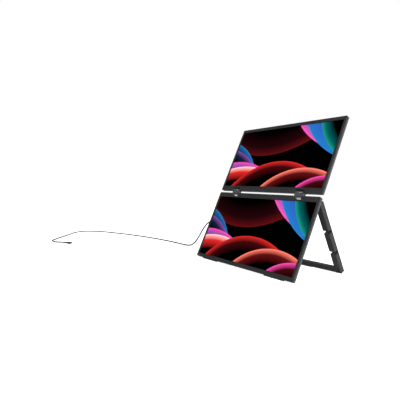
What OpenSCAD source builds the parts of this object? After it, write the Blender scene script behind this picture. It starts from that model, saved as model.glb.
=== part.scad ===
// Stacked screen extender for a laptop: two thin displays joined edge to edge by a pair of
// double-pin hinge links. The lower one stands on a folding U-shaped stand and carries the
// electronics in a raised rear housing. A USB-C lead leaves the housing and lies on the table.
// All sizes are in millimetres. X runs along the displays, Y from the front to the back, Z up.
// The origin is on the table, under the middle of the object without its lead.

/* [Displays] */
// Width of each display
display_w = 356; // [320:1:400]
// Height of each display, measured along its face
display_h = 219; // [205:1:245]
// Thickness of each display
display_t = 11; // [11:0.5:14]
// Radius of the four corners of a display
corner_r = 3.5; // [2:0.5:8]
// Chamfer along the front edges
front_chamfer = 0.4; // [0.2:0.1:1]
// Chamfer along the back edges
back_chamfer = 2; // [0.4:0.1:2]
// Bezel beside the picture
side_bezel = 5.9; // [4.5:0.1:10]
// Bezel between the picture and the free edge
outer_bezel = 10.4; // [6:0.1:14]
// Chin between the picture and the hinged edge
chin = 15; // [14.5:0.1:20]
// Thickness of the bezel's front face
face_t = 1.2; // [0.8:0.1:1.8]
// Thickness of the outer walls
wall_t = 1.5; // [1:0.1:1.8]
// Thickness of the LCD panel
panel_t = 1.5; // [1:0.1:2]
// Thickness of the backlight unit
backlight_t = 2.2; // [1.5:0.1:2.6]

/* [Hinges] */
// Gap between the facing edges of the displays
hinge_gap = 8; // [6:0.5:9]
// Distance from a display's end to the middle of its hinge
hinge_inset = 65; // [50:1:90]
// Width of a hinge link
link_w = 28; // [24:1:40]
// Width of the window that shows the pins in the middle of a link
link_window_w = 16; // [10:1:18]
// Distance of each pin behind its display's hinged edge
pin_inset = 4; // [3.8:0.1:4.4]
// Radius of a hinge pin
pin_r = 1.9; // [1.4:0.05:2]
// Radius of a link round its pins
link_knuckle_r = 3.4; // [2.8:0.1:3.4]
// Depth of a link's front face behind the front faces of the displays
link_front_y = 1.2; // [0.8:0.1:2]
// Gap between the screens when they are folded face to face
fold_gap = 2.4; // [1.8:0.1:2.8]

/* [Stand] */
// Lean of the displays from the vertical, in degrees
lean = 25.5; // [20:0.5:28]
// Width of a stand leg, along X
leg_w = 16; // [11:0.5:18]
// Depth of a stand leg, front to back
leg_t = 15; // [12:0.5:15]
// Distance from the end of the display to the outer face of a leg
leg_inset = 3.7; // [1:0.1:8]
// Distance of the stand's pins below the hinged edge of the lower display
stand_pin_drop = 11.5; // [10:0.5:20]
// Distance from the folded stand's end to the bottom edge of the display
leg_end_inset = 2.5; // [2.5:0.5:8]
// Height of the crossbar
crossbar_h = 15; // [12:0.5:22]
// Depth of the crossbar, front to back
crossbar_t = 10; // [9:0.5:13]
// Width of a cable groove across a leg
groove_w = 9; // [8:0.5:12]
// Depth of a cable groove
groove_depth = 12; // [8:0.5:12.5]
// Distance from the end of a leg to the middle of its lower groove
groove_low = 63; // [50:1:70]
// Distance from the end of a leg to the middle of its upper groove
groove_high = 126; // [112:1:132]
// Radius of the stand's pins
stand_pin_r = 2.5; // [2:0.1:3]
// Length of the rubber strip under the crossbar
foot_strip_l = 172; // [100:1:200]

/* [Rear housing] */
// Width of the rear housing
housing_w = 220; // [180:1:240]
// Height of the rear housing
housing_h = 110; // [100:1:120]
// Distance from the bottom edge of the display to the rear housing
housing_v = 40; // [34:1:44]
// Depth of the rear housing behind the display
housing_t = 14; // [12:0.5:15]
// Radius of the rear housing's corners
housing_r = 8; // [4:0.5:14]
// Wall thickness of the rear housing
housing_wall = 1.8; // [1.4:0.1:2.2]
// Number of vent slots
vent_count = 14; // [6:1:16]
// Distance from one vent slot to the next
vent_pitch = 8; // [6:0.5:9]
// Width of a vent slot
vent_w = 3; // [1.5:0.1:3.5]
// Height of a vent slot
vent_h = 28; // [15:1:40]
// Travel of the buttons
button_travel = 0.5; // [0.3:0.1:0.8]

/* [Feet and bumpers] */
// Length of a rubber foot and of a bumper
foot_l = 58; // [30:1:70]
// Distance from the display's end to the middle of a foot
foot_inset = 59; // [45:1:80]
// Height of a foot at its front
foot_front_h = 2.4; // [2:0.1:3]
// Height of a foot at its back
foot_back_h = 1.2; // [1:0.1:1.4]
// Height of a bumper on the free edge of the upper display
bumper_h = 1; // [0.6:0.1:1.6]

/* [Lead] */
// Diameter of the lead
lead_d = 4; // [3:0.1:5]
// Width of a plug's moulding
plug_w = 12; // [10.5:0.1:13]
// Thickness of a plug's moulding
plug_t = 6.5; // [5.5:0.1:7]
// Length of a plug's moulding
plug_l = 18; // [14:0.5:22]
// Length of a plug's tapered strain relief
relief_l = 14; // [8:0.5:20]

/* [Hidden] */
$fn = 48;

over = 1;               // how far a cut reaches past a face
tiny = 0.01;            // shortest straight side of a rounded end

// Clearances
fit = 0.1;              // between pieces that seat in one another
pin_seat = 0.02;        // round a pin where it is held
pin_play = 0.05;        // round a pin that turns
free_play = 0.3;        // round a pin that passes through a wall
link_play = 0.5;        // round a link in its notches
side_play = 0.4;        // at each end of a link
leg_play = 0.5;         // between the folded leg and the display
port_play = 0.25;       // round a socket in the housing's wall
end_play = 0.2;         // beyond the end of a seated part

// Display
seam_y = display_t / 2;
picture_w = display_w - 2 * side_bezel;
picture_h = display_h - chin - outer_bezel;
panel_lap = 1.4;
panel_y = face_t + fit;
backlight_y = panel_y + panel_t + fit;
inner_back_y = display_t - wall_t;
panel_r = 0.5;
tab_w = 14;
tab_h = 2.2;
tab_t = 0.8;
tab_share = 0.3;
light_r = 0.9;
light_inset_x = 10;
light_inset_v = 4;
light_l = face_t + 0.6;
light_sink = 0.15;

// Hinge
pin_pitch = hinge_gap + 2 * pin_inset;
pin_y = (pin_pitch - fold_gap) / 2;
hinge_x = display_w / 2 - hinge_inset;
notch_half = link_w / 2 + side_play;
notch_depth = pin_inset + pin_y - link_front_y + link_play;
notch_back_depth = pin_inset + link_knuckle_r + link_play;
notch_step_y = pin_y + link_play;
link_edge = 0.8;
bracket_knuckle_r = pin_r + 0.85;
knuckle_l = 6;
knuckle_x = notch_half + wall_t + fit;
bracket_t = 1.2;
bracket_top = 32;
bracket_y = inner_back_y - fit - bracket_t;
bracket_half = knuckle_x + knuckle_l;
bracket_screw_x = bracket_half - knuckle_l / 2;
bracket_screw_z = [17, 27];
pin_l = 2 * (knuckle_x + knuckle_l);
window_clear = 0.6;
link_middle_z = pin_pitch / 2 - pin_r - window_clear;

// Flat ribbon that carries power and picture past the left hinge, behind its pins
ribbon_w = 5;
ribbon_t = 0.4;
ribbon_gap = 0.2;
ribbon_y = bracket_y - ribbon_gap - ribbon_t;
ribbon_x = -hinge_x + (link_w + link_window_w) / 4;
ribbon_link_y = pin_y + (pin_r + link_knuckle_r - ribbon_t) / 2;
ribbon_link_z = pin_pitch / 2 + 1.5;
ribbon_plug_t = 1.5;
ribbon_plug_w = 8;
ribbon_plug_h = 5;

// Driver board in the upper display, above the left bracket
driver_w = 150;
driver_h = 24;
driver_t = 1;
driver_z = bracket_top + 4;
driver_margin = 4;
chip = 12;
chip_t = 1;

// Small screws
screw_r = 0.9;
screw_head_r = 1.7;
screw_head_h = 0.8;
screw_floor = 0.5;

// Stand
stand_pin_v = display_h - stand_pin_drop;
stand_pin_out = leg_t / 2 + leg_play;
leg_l = stand_pin_v - leg_end_inset;
leg_outer_x = display_w / 2 - leg_inset;
leg_inner_x = leg_outer_x - leg_w;
leg_edge_r = 1.5;
strip_inset = 1;
strip_edge = 1;
strip_front_h = 1.2;
strip_back_h = 2.4;
ear_l = leg_w - 2;
ear_gap = 1.5;
ear_r = stand_pin_r + 3.5;
ear_plate_t = 2;
ear_plate_w = 1.6 * leg_w;
ear_plate_h = 1.9 * leg_w;
ear_plate_r = 2;
ear_plate_edge = 0.5;
ear_plate_v0 = stand_pin_v - ear_plate_h / 2 - 3;
ear_plate_v1 = min(ear_plate_v0 + ear_plate_h, display_h - back_chamfer - ear_plate_edge);
ear_screw_inset = 4;
stand_pin_head_r = 4;
stand_pin_head_t = 2;
leg_skin = 3;
stand_pin_grip = leg_w - leg_skin;
leg_end_edge = 0.6;
tenon_l = leg_w - leg_skin;
tenon_wall = 3;
crossbar_set = 0.5;
crossbar_edge = 1;
crossbar_y = (crossbar_t - leg_t) / 2 + crossbar_set;
crossbar_z = crossbar_h / 2 - leg_l;
corner_screw_x = leg_inner_x + tenon_l - 3.5;
corner_screw_r = 1.5;
corner_screw_head_r = 2.8;
corner_screw_head_h = 1.6;
cap_recess = 1.2;
cap_w = 6.5;
cap_h = 11;
cap_r = 2;
ear_x1 = leg_inner_x - ear_gap;
ear_x0 = ear_x1 - ear_l;

// Rear housing, in the display's own height
housing_v1 = housing_v + housing_h;
housing_edge = 2.5;
board_t = 1.6;
board_y = display_t + 3;
board_back_y = board_y + board_t;
board_margin = 2.2;
board_w = housing_w - 2 * housing_wall - 2 * board_margin;
board_h = housing_h - 2 * housing_wall - 2 * board_margin;
board_r = 3;
board_v = housing_v + housing_wall + board_margin;
boss_r = 3;
boss_inset_x = 12;
boss_inset_v = 12;
usb_w = 8.94;
usb_t = 3.16;
usb_l = 7.3;
usb_wall = 0.3;
usb_tongue_w = 6.7;
usb_tongue_t = 0.7;
usb_tongue_l = 4.4;
vent_inset = 12;
vent_v = housing_v1 - vent_inset - vent_h / 2;
hdmi_w = 11.2;
hdmi_t = 3.4;
hdmi_l = 7.5;
port_y = board_back_y + usb_t / 2;
hdmi_y = board_back_y + hdmi_t / 2;
ribbon_turn_inset = 20;
ribbon_pass_w = 36;
ribbon_pass_h = 24;
ribbon_pass_edge = 4;
ribbon_pass_r = 2;
ribbon_turn_x = ribbon_turn_inset - housing_w / 2;
ribbon_turn_v = housing_v1 - ribbon_turn_inset;
usb_high_v = leg_end_inset + groove_high;
usb_low_v = leg_end_inset + groove_low;
hdmi_v = usb_low_v + 17;
socket_sink = 0.6;
socket_x = socket_sink - housing_w / 2;
button_l = 4;
button_proud = button_travel + free_play;
button_w = 8;
button_h = 3.2;
button_flange = 0.7;
power_v = usb_high_v;
menu_v = usb_low_v + 12;
menu_pitch = 14;
switch_l = 4;
switch_w = 6;

// Parts on the main board: x and height from its middle, width, height, thickness
BOARD_PARTS = [[-42, 1, 16, 16, 1.2], [-4, 1, 16, 16, 1.2], [29, -18, 10, 10, 1.8], [53, 10, 10, 10, 3],
    [-47, -30, 34, 6, 2.4], [20, 14, 8, 5, 1.5], [70, -24, 12, 12, 1.2]];
housing_screw_r = 1.3;
housing_screw_head_r = 2.4;
housing_screw_head_h = 1.2;
housing_screw_sink = 0.6;
housing_screw_y0 = inner_back_y + 0.4;
screw_slot_w = 0.5;
screw_slot_l = 2.4;
screw_slot_t = 1.2;

// Feet
foot_y0 = 2;
foot_y1 = 9.5;
foot_edge = 0.6;
foot_flat_y = foot_y1 - (foot_front_h - foot_back_h) / tan(lean);

// Where the stack stands: its feet's flats and the strip's flat lie on the table
z_shift = foot_back_h * cos(lean) + foot_y1 * sin(lean);
stand_pin_z = z_shift + stand_pin_v * cos(lean) - (display_t + stand_pin_out) * sin(lean);
strip_front_y = leg_t / 2 - strip_inset;
strip_end_y = crossbar_y + crossbar_t / 2 - strip_inset;
strip_reach = leg_l + strip_front_h;
stand_open = atan(strip_front_y / strip_reach)
    + acos(stand_pin_z / sqrt(strip_front_y * strip_front_y + strip_reach * strip_reach));
stand_pin_yy = stand_pin_v * sin(lean) + (display_t + stand_pin_out) * cos(lean);
strip_back_yy = stand_pin_yy + (leg_l + strip_back_h) * sin(stand_open) + strip_end_y * cos(stand_open);
leg_back_yy = stand_pin_yy + (leg_l - leg_end_edge) * sin(stand_open) + leg_t / 2 * cos(stand_open);
stack_v = 2 * display_h + hinge_gap;
stack_back_yy = (stack_v - back_chamfer) * sin(lean) + display_t * cos(lean);
front_yy = front_chamfer * sin(lean);
y_shift = -(front_yy + max(strip_back_yy, leg_back_yy, stack_back_yy)) / 2;

// Lead: it leaves the upper socket in the housing's left side and ends in a plug on the table
lead_r = lead_d / 2;
lead_sides = 8;
lead_ring_pitch = 15;
plug_gap = 0.5;
plug_shell_l = 6;
plug_shell_wall = 0.35;
plug_reach = plug_l + relief_l;
relief_step = 0.6;
relief_skin = 0.5;
laptop_plug_turn = 36;

// Route of the lead between its plugs, chosen by hand: x, y, z
LEAD_ROUTE = [
    [-152, -35, 113.6], [-163, -35, 113.2], [-174, -35, 112.3], [-187, -35, 110], [-201, -34, 105],
    [-216, -33, 97], [-232, -31, 84], [-248, -29, 68], [-264, -26, 51], [-281, -23, 34],
    [-300, -20, 19], [-322, -17, 8], [-346, -15, 3.4], [-372, -15, 2.2], [-420, -17, 2.2],
    [-480, -24, 2.2], [-545, -36, 2.2], [-615, -55, 2.2], [-685, -80, 2.2], [-755, -112, 2.2],
    [-808, -142, 2.2], [-846, -178, 2.2], [-862, -220, 2.2], [-845, -262, 2.2], [-800, -305, 2.2],
    [-750, -350, 2.2], [-705, -392, 2.2], [-668, -418, 2.2], [-636, -416, 2.4]
];
LEAD_END = [-604, -393, plug_t / 2];

// ---------------------------------------------------------------- placing

// The leaning stack: y is the depth behind the front faces, z the height along them
module in_stack() {
    translate([0, y_shift, z_shift]) rotate([-lean, 0, 0]) children();
}

// A display's own frame: z runs from its hinged edge to its free edge
module in_lower() {
    in_stack() translate([0, 0, display_h]) mirror([0, 0, 1]) children();
}

module in_upper() {
    in_stack() translate([0, 0, display_h + hinge_gap]) children();
}

module in_gap() {
    in_stack() translate([0, 0, display_h + hinge_gap / 2]) children();
}

// The stand's own frame: its pins lie on the x axis and its legs hang down along -z
module in_stand() {
    in_stack() translate([0, display_t + stand_pin_out, stand_pin_v])
        rotate([lean + stand_open, 0, 0]) children();
}

// ---------------------------------------------------------------- shared shapes

// A rectangle with round corners; a large radius gives it round ends
module rounded_rect(w, h, r) {
    q = min(r, w / 2 - tiny, h / 2 - tiny);
    square([w - 2 * q, h], center = true);
    square([w, h - 2 * q], center = true);
    for (sx = [-1, 1]) {
        for (sy = [-1, 1]) {
            translate([sx * (w / 2 - q), sy * (h / 2 - q)]) circle(q);
        }
    }
}

// An upright plate from y0 to y1, with rounded corners seen from the front
module plate(w, z0, z1, y0, y1, r) {
    translate([0, y1, (z0 + z1) / 2]) rotate([90, 0, 0])
        linear_extrude(y1 - y0) rounded_rect(w, z1 - z0, r);
}

// A profile drawn as (y, z), extruded along x about the middle
module along_x(l) {
    rotate([90, 0, 90]) linear_extrude(l, center = true) children();
}

// A round bar along x
module bar(r, l) {
    rotate([0, 90, 0]) cylinder(r = r, h = l, center = true);
}

module box(x0, x1, y0, y1, z0, z1) {
    translate([x0, y0, z0]) cube([x1 - x0, y1 - y0, z1 - z0]);
}

// ---------------------------------------------------------------- display

// Outer form of a display, with chamfers along its front and back edges
module display_form() {
    f = front_chamfer;
    b = back_chamfer;
    t = display_t;
    h = display_h;
    x = display_w / 2;
    intersection() {
        plate(display_w, 0, h, 0, t, corner_r);
        along_x(display_w + 2 * over)
            polygon([[f, 0], [t - b, 0], [t, b], [t, h - b], [t - b, h], [f, h], [0, h - f], [0, f]]);
        linear_extrude(h)
            polygon([[f - x, 0], [x - f, 0], [x, f], [x, t - b],
                [x - b, t], [b - x, t], [-x, t - b], [-x, f]]);
    }
}

// The two notches in the hinged edge, deeper in front of the pins, grown by a margin
module notches(grow) {
    x = notch_half + grow;
    for (side = [-1, 1]) {
        translate([side * hinge_x, 0, 0]) union() {
            box(-x, x, -over, notch_step_y + grow, -over, notch_depth + grow);
            box(-x, x, -over, display_t + over, -over, notch_back_depth + grow);
        }
    }
}

// Room for a bracket's knuckles and for the pin through the notch's walls
module knuckle_room() {
    for (side = [-1, 1]) {
        translate([side * hinge_x, pin_y, pin_inset]) bar(pin_r + free_play, pin_l + 2 * fit);
        for (end = [-1, 1]) {
            translate([side * hinge_x + end * (knuckle_x + knuckle_l / 2), pin_y, pin_inset])
                bar(bracket_knuckle_r + fit, knuckle_l + 2 * fit);
        }
    }
}

module display_cavity(y0, y1) {
    difference() {
        plate(display_w - 2 * wall_t, wall_t, display_h - wall_t, y0, y1, corner_r - wall_t / 2);
        notches(wall_t);
    }
}

// Where the ribbon passes through the floor of the left notch
module ribbon_slot() {
    box(ribbon_x - ribbon_w / 2 - fit, ribbon_x + ribbon_w / 2 + fit,
        ribbon_y - fit, ribbon_y + ribbon_t + fit, notch_back_depth - over, notch_depth + wall_t + over);
}

module bezel() {
    difference() {
        intersection() {
            display_form();
            box(-display_w, display_w, -over, seam_y, -over, display_h + over);
        }
        display_cavity(face_t, seam_y + over);
        notches(0);
        knuckle_room();
        box(-picture_w / 2, picture_w / 2, -over, face_t + over, chin, chin + picture_h);
    }
}

module lcd_panel() {
    plate(picture_w + 2 * panel_lap, chin - panel_lap, chin + picture_h + panel_lap,
        panel_y, panel_y + panel_t, panel_r);
}

// The backlight's tray, with the tabs that hold it at the free edge
module backlight() {
    rear_y = backlight_y + backlight_t;
    plate(picture_w + 2 * panel_lap, chin - panel_lap, chin + picture_h + panel_lap,
        backlight_y, rear_y, panel_r);
    for (side = [-1, 1]) {
        translate([side * tab_share * picture_w, 0, 0]) {
            box(-tab_w / 2, tab_w / 2, rear_y - tab_t, rear_y,
                chin + picture_h, chin + picture_h + panel_lap + tab_h);
        }
    }
}

// Screw posts of the hinge brackets stand on the inside of the back wall
module bracket_screw_spots() {
    for (side = [-1, 1]) {
        for (end = [-1, 1]) {
            for (z = bracket_screw_z) {
                translate([side * hinge_x + end * bracket_screw_x, 0, z]) children();
            }
        }
    }
}

module back_cover() {
    difference() {
        intersection() {
            display_form();
            box(-display_w, display_w, seam_y + fit / 2, display_t + over, -over, display_h + over);
        }
        display_cavity(seam_y - over, inner_back_y);
        notches(0);
        knuckle_room();
        ribbon_slot();
        bracket_screw_spots() translate([0, display_t - screw_floor, 0]) rotate([90, 0, 0])
            cylinder(r = screw_r + pin_seat, h = display_t);
    }
}

module hinge_bracket(side) {
    z_low = wall_t + fit;
    translate([side * hinge_x, 0, 0]) difference() {
        union() {
            box(-bracket_half, bracket_half, bracket_y, bracket_y + bracket_t, z_low, bracket_top);
            for (end = [-1, 1]) {
                translate([end * (knuckle_x + knuckle_l / 2), 0, 0]) {
                    translate([0, pin_y, pin_inset]) bar(bracket_knuckle_r, knuckle_l);
                    box(-knuckle_l / 2, knuckle_l / 2, pin_y, bracket_y + bracket_t,
                        z_low, pin_inset + bracket_knuckle_r);
                }
            }
        }
        box(-knuckle_x, knuckle_x, -over, display_t, -over, notch_depth + wall_t + fit);
        translate([0, pin_y, pin_inset]) bar(pin_r + pin_seat, pin_l + 2 * over);
        for (end = [-1, 1]) {
            for (z = bracket_screw_z) {
                translate([end * bracket_screw_x, display_t, z]) rotate([90, 0, 0])
                    cylinder(r = screw_r + fit, h = display_t);
            }
        }
    }
}

module hinge_pin(side) {
    translate([side * hinge_x, pin_y, pin_inset]) bar(pin_r, pin_l);
}

// Screws that hold the brackets to the back wall, heads inside
module bracket_screws() {
    bracket_screw_spots() {
        translate([0, bracket_y, 0]) rotate([90, 0, 0]) cylinder(r = screw_head_r, h = screw_head_h);
        translate([0, display_t - screw_floor - fit, 0]) rotate([90, 0, 0])
            cylinder(r = screw_r, h = display_t - screw_floor - fit - bracket_y + screw_head_h / 2);
    }
}

// ---------------------------------------------------------------- lower display

module lower_bezel() {
    color([0.16, 0.16, 0.16]) in_lower() difference() {
        bezel();
        status_light_hole(fit);
    }
}

module lower_lcd_panel() {
    color([0.35, 0.05, 0.08]) in_lower() lcd_panel();
}

module lower_backlight() {
    color([0.7, 0.7, 0.72]) in_lower() backlight();
}

module lower_back_cover() {
    pass_v = ribbon_turn_v + ribbon_pass_edge;
    color([0.15, 0.15, 0.155]) difference() {
        union() {
            in_lower() back_cover();
            in_stack() housing_corners() translate([0, board_y - fit, 0]) rotate([90, 0, 0])
                cylinder(r = boss_r, h = board_y - fit - display_t + wall_t / 2);
        }
        in_stack() {
            translate([ribbon_turn_x + ribbon_pass_w / 2 - ribbon_pass_edge, 0, 0])
                plate(ribbon_pass_w, pass_v - ribbon_pass_h, pass_v, seam_y, display_t + over, ribbon_pass_r);
            stand_bracket_screw_spots() rotate([90, 0, 0])
                cylinder(r = screw_r + pin_seat, h = display_t, center = true);
            housing_corners() translate([0, board_y, 0]) rotate([90, 0, 0])
                cylinder(r = housing_screw_r + pin_seat, h = board_y - housing_screw_y0 + fit);
        }
    }
}

module lower_hinge_bracket_left() {
    color([0.55, 0.55, 0.57]) in_lower() hinge_bracket(-1);
}

module lower_hinge_bracket_right() {
    color([0.55, 0.55, 0.57]) in_lower() hinge_bracket(1);
}

module lower_hinge_pin_left() {
    color([0.8, 0.8, 0.82]) in_lower() hinge_pin(-1);
}

module lower_hinge_pin_right() {
    color([0.8, 0.8, 0.82]) in_lower() hinge_pin(1);
}

module lower_bracket_screws() {
    color([0.3, 0.3, 0.32]) in_lower() bracket_screws();
}

// A foot's flat lies on the table while the display leans
module lower_foot(side) {
    h = display_h;
    translate([side * (display_w / 2 - foot_inset), 0, 0]) along_x(foot_l)
        polygon([[foot_y0, h], [foot_y0, h + foot_front_h - foot_edge],
            [foot_y0 + foot_edge, h + foot_front_h], [foot_flat_y, h + foot_front_h],
            [foot_y1, h + foot_back_h], [foot_y1, h]]);
}

module lower_foot_left() {
    color([0.05, 0.05, 0.05]) in_lower() lower_foot(-1);
}

module lower_foot_right() {
    color([0.05, 0.05, 0.05]) in_lower() lower_foot(1);
}

module status_light_hole(grow) {
    translate([light_inset_x - display_w / 2, 0, display_h - light_inset_v]) rotate([-90, 0, 0])
        cylinder(r = light_r + grow / 2, h = light_l);
}

module status_light() {
    color([0.85, 0.6, 0.4]) in_lower() difference() {
        status_light_hole(0);
        box(-display_w, 0, -over, light_sink, 0, display_h);
    }
}

// Down from the notch, across to the opening behind the housing, and back to the main board
module lower_ribbon() {
    x0 = ribbon_x - ribbon_w / 2;
    x1 = x0 + ribbon_w;
    v0 = ribbon_turn_v - ribbon_w;
    color([0.6, 0.35, 0.1]) in_stack() {
        box(x0, x1, ribbon_y, ribbon_y + ribbon_t, v0, display_h - notch_back_depth - free_play);
        box(min(x0, ribbon_turn_x - ribbon_t), max(x1, ribbon_turn_x),
            ribbon_y, ribbon_y + ribbon_t, v0, ribbon_turn_v);
        box(ribbon_turn_x - ribbon_t, ribbon_turn_x, ribbon_y, board_y - ribbon_plug_t, v0, ribbon_turn_v);
    }
}

// ---------------------------------------------------------------- rear housing

// Outer form of the housing: a low box with chamfered rear edges
module housing_form(inset) {
    e = housing_edge;
    y0 = display_t;
    y1 = display_t + housing_t - inset;
    x = housing_w / 2 - inset;
    v0 = housing_v + inset;
    v1 = housing_v1 - inset;
    intersection() {
        plate(2 * x, v0, v1, y0, y1, housing_r - inset);
        along_x(housing_w)
            polygon([[y0, v0], [y1 - e, v0], [y1, v0 + e], [y1, v1 - e], [y1 - e, v1], [y0, v1]]);
        translate([0, 0, v0]) linear_extrude(v1 - v0)
            polygon([[-x, y0], [x, y0], [x, y1 - e], [x - e, y1], [e - x, y1], [-x, y1 - e]]);
    }
}

module housing_corners() {
    for (sx = [-1, 1]) {
        for (v = [housing_v + boss_inset_v, housing_v1 - boss_inset_v]) {
            translate([sx * (housing_w / 2 - boss_inset_x), 0, v]) children();
        }
    }
}

// A rounded slot through the left wall, for a socket w high and t deep
module socket_hole(v, y, w, t) {
    translate([-housing_w / 2, y, v]) rotate([0, 90, 0])
        linear_extrude(4 * housing_wall, center = true) rounded_rect(w, t, t / 2);
}

module button_spots() {
    for (v = [power_v, menu_v, menu_v + menu_pitch]) {
        translate([housing_w / 2, port_y, v]) children();
    }
}

module rear_housing() {
    y1 = display_t + housing_t;
    color([0.15, 0.15, 0.155]) in_stack() difference() {
        union() {
            difference() {
                housing_form(0);
                housing_form(housing_wall);
                translate([0, -over, 0]) housing_form(housing_wall);
            }
            intersection() {
                housing_form(0);
                housing_corners() translate([0, y1, 0]) rotate([90, 0, 0])
                    cylinder(r = boss_r, h = y1 - board_back_y - fit);
            }
        }
        housing_corners() {
            translate([0, y1 + over, 0]) rotate([90, 0, 0])
                cylinder(r = housing_screw_head_r + fit, h = over + housing_screw_sink + housing_screw_head_h);
            translate([0, y1, 0]) rotate([90, 0, 0]) cylinder(r = housing_screw_r + fit, h = housing_t);
        }
        for (i = [0 : vent_count - 1]) {
            translate([(i - (vent_count - 1) / 2) * vent_pitch, y1 + over, vent_v])
                rotate([90, 0, 0]) linear_extrude(housing_wall + 2 * over)
                    rounded_rect(vent_w, vent_h, vent_w / 2);
        }
        for (v = [usb_low_v, usb_high_v]) {
            socket_hole(v, port_y, usb_w + 2 * port_play, usb_t + 2 * port_play);
        }
        translate([-housing_w / 2, hdmi_y, hdmi_v]) rotate([0, 90, 0])
            linear_extrude(4 * housing_wall, center = true) hdmi_outline(-port_play);
        button_spots() rotate([0, 90, 0]) linear_extrude(4 * housing_wall, center = true)
            rounded_rect(button_w + 2 * free_play, button_h + 2 * free_play, button_h / 2 + free_play);
    }
}

module main_board() {
    x1 = board_w / 2;
    plug_v = ribbon_turn_v - ribbon_w / 2;
    color([0.05, 0.25, 0.12]) in_stack() difference() {
        union() {
            plate(board_w, board_v, board_v + board_h, board_y, board_back_y, board_r);
            for (p = BOARD_PARTS) {
                translate([p[0] - p[2] / 2, board_back_y, board_v + board_h / 2 + p[1] - p[3] / 2])
                    cube([p[2], p[4], p[3]]);
            }
            for (v = [power_v, menu_v, menu_v + menu_pitch]) {
                box(x1 - switch_l, x1, board_back_y, board_back_y + button_h,
                    v - switch_w / 2, v + switch_w / 2);
            }
            box(ribbon_turn_x - ribbon_plug_w / 2, ribbon_turn_x + ribbon_plug_w / 2,
                board_y - ribbon_plug_t, board_y, plug_v - ribbon_plug_w / 2, plug_v + ribbon_plug_w / 2);
        }
        housing_corners() rotate([90, 0, 0])
            cylinder(r = housing_screw_r + fit, h = 4 * display_t, center = true);
    }
}

// A socket's metal shell: a rounded tube, closed at its inner end, round the contact tongue
module socket_shell(w, t, l) {
    rotate([0, 90, 0]) {
        difference() {
            linear_extrude(l) rounded_rect(w, t, t / 2);
            translate([0, 0, -over]) linear_extrude(l - usb_wall + over)
                rounded_rect(w - 2 * usb_wall, t - 2 * usb_wall, t / 2);
        }
        translate([0, 0, l - usb_wall - usb_tongue_l]) linear_extrude(usb_tongue_l)
            square([usb_tongue_w, usb_tongue_t], center = true);
    }
}

module usb_c_socket(v) {
    color([0.75, 0.75, 0.77]) in_stack() translate([socket_x, port_y, v]) socket_shell(usb_w, usb_t, usb_l);
}

module usb_c_socket_high() {
    usb_c_socket(usb_high_v);
}

module usb_c_socket_low() {
    usb_c_socket(usb_low_v);
}

module mini_hdmi_socket() {
    color([0.75, 0.75, 0.77]) in_stack() translate([socket_x, hdmi_y, hdmi_v]) rotate([0, 90, 0])
        difference() {
            linear_extrude(hdmi_l) hdmi_outline(0);
            translate([0, 0, -over]) linear_extrude(hdmi_l - usb_wall + over) hdmi_outline(usb_wall);
        }
}

// The outline of a mini-HDMI socket: a rectangle narrowed at one side, made smaller by an inset
module hdmi_outline(inset) {
    a = hdmi_w / 2 - inset;
    b = hdmi_t / 2 - inset;
    polygon([[-a, b], [-a, 0], [-a + b, -b], [a - b, -b], [a, 0], [a, b]]);
}

module housing_screws() {
    y1 = display_t + housing_t - housing_screw_sink;
    color([0.3, 0.3, 0.32]) in_stack() housing_corners() translate([0, y1, 0]) difference() {
        rotate([90, 0, 0]) union() {
            cylinder(r = housing_screw_head_r, h = housing_screw_head_h);
            cylinder(r = housing_screw_r, h = y1 - housing_screw_y0);
        }
        for (a = [0, 90]) {
            rotate([0, a, 0]) cube([screw_slot_w, screw_slot_t, screw_slot_l], center = true);
        }
    }
}

// A button's cap, with a flange that keeps it in the housing
module button(v) {
    w = button_w + 2 * button_flange;
    h = button_h + 2 * button_flange;
    color([0.1, 0.1, 0.1]) in_stack() translate([housing_w / 2, port_y, v]) rotate([0, 90, 0])
        translate([0, 0, button_proud - button_l]) {
            linear_extrude(button_l) rounded_rect(button_w, button_h, button_h / 2);
            linear_extrude(button_l - button_proud - housing_wall - fit) rounded_rect(w, h, h / 2);
        }
}

module power_button() {
    button(power_v);
}

module menu_up_button() {
    button(menu_v + menu_pitch);
}

module menu_down_button() {
    button(menu_v);
}

// ---------------------------------------------------------------- hinge links

// Section of a link as (y, z): a block that reaches forward to the displays' faces, round about
// each pin behind, so that it turns in the notches
module link_section() {
    e = link_edge;
    h = pin_pitch / 2;
    difference() {
        union() {
            polygon([[link_front_y, e - h], [link_front_y + e, -h], [pin_y + link_knuckle_r, -h],
                [pin_y + link_knuckle_r, h], [link_front_y + e, h], [link_front_y, h - e]]);
            for (s = [-1, 1]) {
                translate([pin_y, s * h]) circle(link_knuckle_r);
            }
        }
        for (s = [-1, 1]) {
            translate([pin_y, s * h]) circle(pin_r + pin_play);
        }
    }
}

// A link with its front edges chamfered, and a window at each end that shows the pin
module hinge_link(side) {
    e = link_edge;
    x = link_w / 2;
    y0 = link_front_y;
    y1 = pin_y + link_knuckle_r;
    color([0.22, 0.22, 0.22]) in_gap() difference() {
        translate([side * hinge_x, 0, 0]) difference() {
            intersection() {
                along_x(link_w) link_section();
                translate([0, 0, -pin_pitch]) linear_extrude(2 * pin_pitch)
                    polygon([[e - x, y0], [x - e, y0], [x, y0 + e], [x, y1], [-x, y1], [-x, y0 + e]]);
            }
            for (s = [-1, 1]) {
                translate([0, 0, s * (link_middle_z + pin_pitch)])
                    cube([link_window_w, 6 * display_t, 2 * pin_pitch], center = true);
            }
        }
        if (side < 0) {
            box(ribbon_x - ribbon_w / 2 - fit, ribbon_x + ribbon_w / 2 + fit,
                ribbon_link_y - fit, ribbon_link_y + ribbon_t + fit, -pin_pitch, pin_pitch);
        }
    }
}

module hinge_link_left() {
    hinge_link(-1);
}

module hinge_link_right() {
    hinge_link(1);
}

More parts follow.
